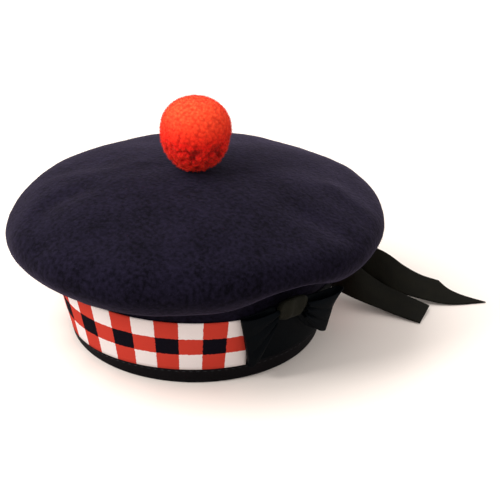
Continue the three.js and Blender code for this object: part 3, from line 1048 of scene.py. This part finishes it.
def cockade_loop(name, side, length, depth, lift, foot, top, slant, flick):
    """One loop of the bow: a flat hoop of ribbon, gathered in pleats at the knot and spread at its end."""
    along, across = steps(*LOOP_STEPS)
    first = LOOP_OPEN * 2 * math.pi
    turn = mix(first, 2 * math.pi - first, along)
    nearest = (1 - math.cos(first)) / 2
    spread = ((1 - np.cos(turn)) / 2 - nearest) / (1 - nearest)
    layer = np.sign(np.sin(turn)) * np.sqrt(np.abs(np.sin(turn)))
    level = across - 0.5
    fan = np.sin(spread * math.pi / 2)
    height = mix(mix(LOOP_GATHER_FOOT, foot, fan), mix(LOOP_GATHER_TOP, top, fan), across)
    pleat = PLEAT_DEPTH * (1 - spread) * np.abs(np.cos(level * math.pi * LOOP_PLEATS))
    out = COCKADE_OUT + MM * ((1 + side * layer) * depth / 2 + lift * spread + pleat)
    corner = flick * np.maximum(2 * level, 0) ** 4
    reach = LOOP_START + spread * (length - LOOP_START + level * slant + corner)
    face = over_headband(COCKADE_ANGLE, side * reach * MM, height * MM, out)
    flat = np.stack([along * LOOP_RIBBON[1], across * LOOP_RIBBON[0]], axis=-1)
    return cloth_mesh(f"cockade_{name}_loop", face, flat, RIBBON_WALL)


def ribbon_knot(name, angle, half_width, half_height, depth, height, rise, creases):
    """A knot: a rounded bunch of ribbon over the headband, with creases where it is drawn tight."""
    ball = bmesh.new()
    bmesh.ops.create_uvsphere(ball, u_segments=KNOT_SEGMENTS[0], v_segments=KNOT_SEGMENTS[1], radius=1)
    bmesh.ops.rotate(ball, verts=ball.verts, matrix=Matrix.Rotation(math.radians(-90), 3, "X"))
    mesh = bpy.data.meshes.new(name)
    ball.to_mesh(mesh)
    ball.free()
    unit = places(mesh)
    full = np.sign(unit) * np.abs(unit) ** KNOT_FULLNESS
    crease = CREASE_DEPTH * (1 + np.cos(unit[:, 0] * math.pi * creases))
    out = (1 + full[:, 2]) / 2 * depth * (1 - crease)
    level = height + full[:, 1] * half_height + rise * out / depth
    move_to(mesh, over_headband(angle, full[:, 0] * half_width * MM, level * MM, COCKADE_OUT + out * MM))
    lay_flat(mesh, np.stack([full[:, 1] * half_height, full[:, 0] * half_width], axis=-1) * MM)
    return mesh


def ribbon_tail(name, length, slant, route):
    """A tail: a ribbon along its route, upright at the knot and leaning over to lie on the surface."""
    along, across = steps(*TAIL_STEPS)
    run = along * (1 - slant * across)
    small = 1e-4
    middle = [row[:3] for row in route]
    way = through(middle, np.minimum(run + small, 1)) - through(middle, np.maximum(run - small, 0))
    outward = np.cross((0, 0, 1), way)
    outward /= np.linalg.norm(outward, axis=-1, keepdims=True)
    lean = np.radians(through([row[3:] for row in route], run))
    spread = np.cos(lean) * np.array([0, 0, 1]) + np.sin(lean) * outward
    face = through(middle, run) * MM + spread * (across[..., None] - 0.5) * TAIL_WIDTH
    flat = np.stack([run * length, across * TAIL_WIDTH], axis=-1)
    return cloth_mesh(f"tail_{name}", face, flat, RIBBON_WALL)


def set_camera():
    """The photograph's view, with the target at its own pixel."""
    azimuth = math.radians(CAMERA_AZIMUTH)
    elevation = math.radians(CAMERA_ELEVATION)
    roll = math.radians(CAMERA_ROLL)
    level = math.cos(elevation)
    back = Vector((math.sin(azimuth) * level, -math.cos(azimuth) * level, math.sin(elevation)))
    right = Vector((math.cos(azimuth), math.sin(azimuth), 0))
    up = back.cross(right)
    rolled_right = right * math.cos(roll) + up * math.sin(roll)
    rolled_up = up * math.cos(roll) - right * math.sin(roll)
    across = (IMAGE_PIXELS / 2 - TARGET_PIXEL[0]) / FOCAL_PIXELS
    above = (TARGET_PIXEL[1] - IMAGE_PIXELS / 2) / FOCAL_PIXELS
    axis_z = (back - rolled_right * across - rolled_up * above).normalized()
    axis_x = rolled_up.cross(axis_z).normalized()
    axis_y = axis_z.cross(axis_x)
    camera = in_scene("camera", bpy.data.cameras.new("camera"))
    camera.data.sensor_width = SENSOR_MM
    camera.data.lens = SENSOR_MM * FOCAL_PIXELS / IMAGE_PIXELS
    camera.matrix_world = Matrix.Translation(CAMERA_TARGET + back * CAMERA_DISTANCE) @ Matrix(
        (axis_x, axis_y, axis_z)
    ).transposed().to_4x4()
    bpy.context.scene.camera = camera


def set_studio():
    """A white paper floor, a white room and its lamps."""
    sheet = bmesh.new()
    bmesh.ops.create_grid(sheet, x_segments=1, y_segments=1, size=FLOOR_SIZE / 2)
    mesh = bpy.data.meshes.new("floor")
    sheet.to_mesh(mesh)
    sheet.free()
    mesh.materials.append(studio_paper())
    in_scene("floor", mesh)
    room = bpy.data.worlds.new("room")
    room.use_nodes = True
    room.node_tree.nodes["Background"].inputs["Color"].default_value = linear("#ffffff")
    room.node_tree.nodes["Background"].inputs["Strength"].default_value = ROOM_LIGHT
    bpy.context.scene.world = room
    for row in LAMPS:
        lamp = in_scene(row["name"], bpy.data.lights.new(row["name"], "AREA"))
        lamp.data.size = row["size"]
        lamp.data.energy = row["watts"]
        lamp.location = row["place"]
        lamp.rotation_euler = (CAMERA_TARGET - row["place"]).to_track_quat("-Z", "Y").to_euler()
    bpy.context.scene.view_settings.view_transform = "Standard"


def build():
    """Makes every piece, then the camera and the studio."""
    noise.seed_set(UNEVEN_SEED)
    # Painted light and shade: copies of one black ribbon, darker on the bow under the crown's overhang, paler
    # and olive on the tails and knots that lie in the light
    shaded_bow_ribbon = ribbed_ribbon("shaded_bow_ribbon", "#030406", "#080c10")
    lit_tail_ribbon = ribbed_ribbon("lit_tail_ribbon", "#100f0d", "#1e1c15")
    lit_knot_ribbon = ribbed_ribbon("lit_knot_ribbon", "#131311", "#25241c")
    edge_ribbon = ribbed_ribbon("edge_ribbon", "#0d0b0d", "#171416")
    nap_wool = loose_fibre("nap_wool", "#0f0c16", "#2b2539")
    fuzz_wool = loose_fibre("fuzz_wool", "#ee1a0c", "#ff4526")
    strands_on = strand_tree()

    felt = felt_body()
    cover_outside(felt)
    nap = strands(strands_on, felt, NAP, nap_wool)
    piece("felt_crown", felt, felted_wool(), "wool", "crown")
    piece("felt_nap", nap, nap_wool, "wool")

    border = piece("diced_ribbon", diced_border(), diced_weave(), "dicing", "diced_border")

    binding = piece("edge_binding", edge_binding(), edge_ribbon, "ribbon", "binding")
    thread = cotton_thread()
    sewn = made_by(
        *stitch_tree(),
        binding_path(),
        Pitch=STITCH_PITCH,
        Length=STITCH_LENGTH,
        Thickness=STITCH_THICKNESS,
        Material=thread,
    )
    stitches = piece("binding_stitches", sewn, thread, "ribbon")

    base = piece("cockade_panel", cockade_base(), shaded_bow_ribbon, "ribbon", "cockade_base")
    for row in LOOPS:
        node = f"cockade_{row['name']}_loop"
        loop = piece(f"ribbon_{row['name']}_loop", cockade_loop(**row), shaded_bow_ribbon, "ribbon", node)
    for row in KNOTS:
        piece(f"ribbon_{row['name']}", ribbon_knot(**row), lit_knot_ribbon, "ribbon", row["name"])
    for row in TAILS:
        node = f"tail_{row['name']}"
        tail = piece(f"ribbon_{node}", ribbon_tail(**row), lit_tail_ribbon, "ribbon", node)

    toorie = toorie_yarn()
    fuzz = strands(strands_on, toorie, FUZZ, fuzz_wool)
    piece("toorie_yarn", toorie, wool_yarn(), "yarn", "toorie")
    piece("toorie_fuzz", fuzz, fuzz_wool, "yarn")
    set_camera()
    set_studio()


build()
bpy.context.view_layer.update()
